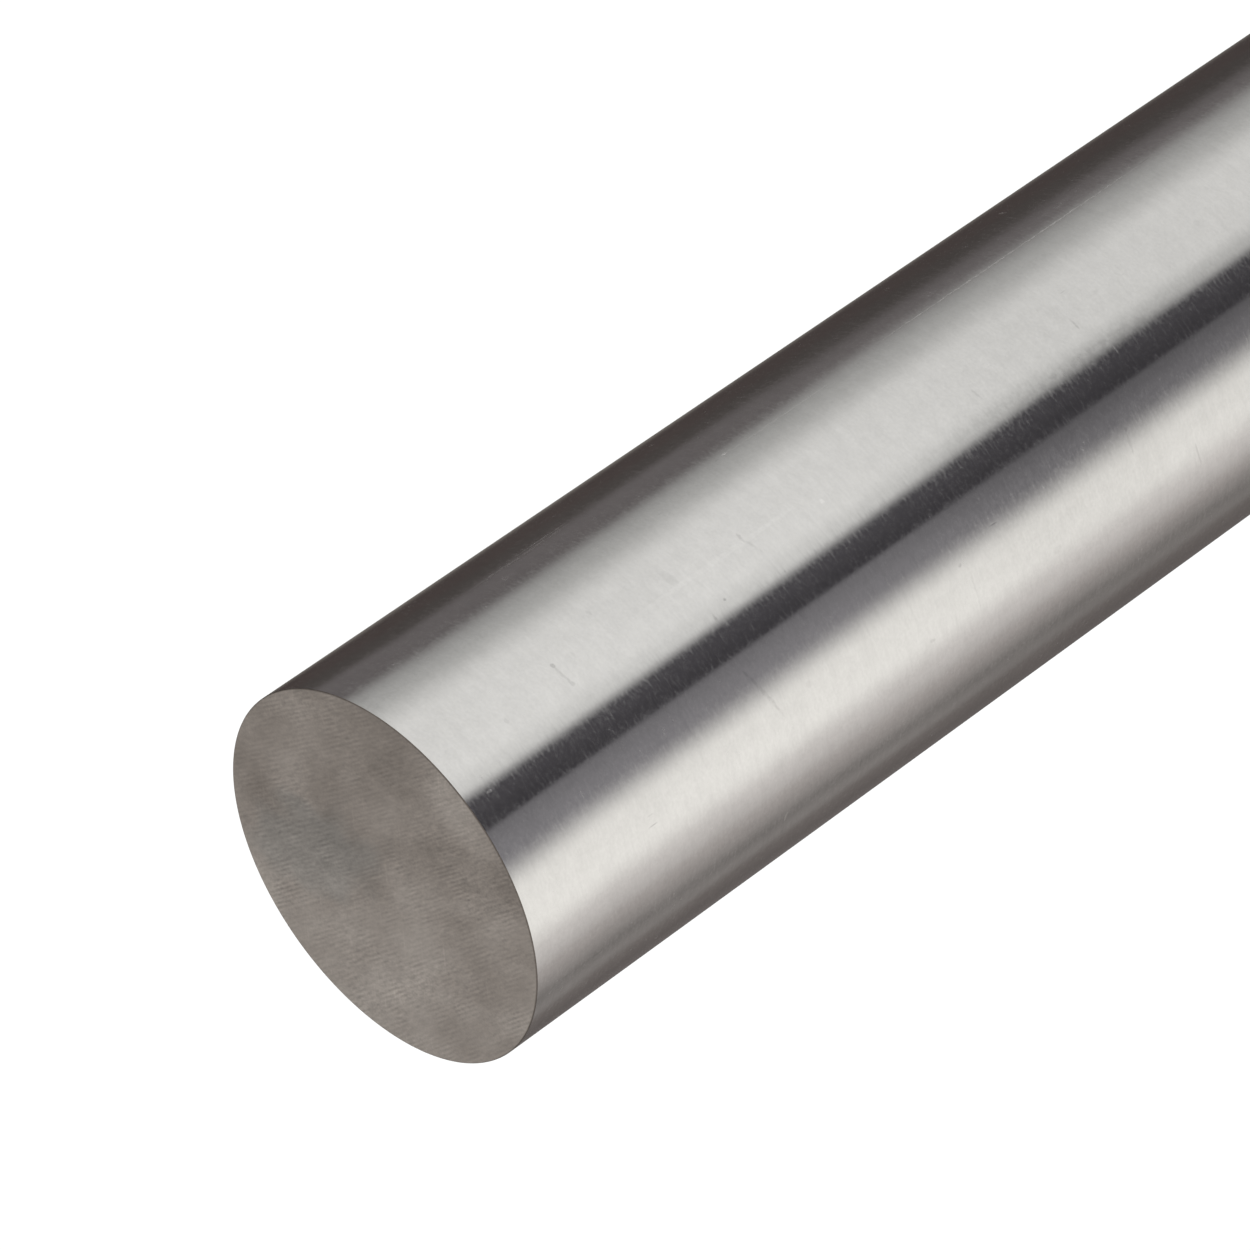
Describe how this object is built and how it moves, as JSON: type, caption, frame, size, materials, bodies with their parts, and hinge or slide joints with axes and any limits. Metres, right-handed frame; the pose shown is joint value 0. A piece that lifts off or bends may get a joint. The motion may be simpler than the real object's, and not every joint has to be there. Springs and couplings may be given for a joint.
{
  "type": "round metal bar",
  "caption": "Solid round steel bar stock with a bright ground side, sawn square at both ends, standing on one end.",
  "frame": {"origin": "centre of the foot end's sawn face, on the floor plane", "axes": "+Z along the bar's axis, from the foot end up to the top end"},
  "size_m": [0.0508, 0.0508, 0.3048],
  "materials": {
    "bright_steel": "satin"
  },
  "bodies": {
    "root": {"round_bar": "bright_steel"}
  },
  "joints": []
}
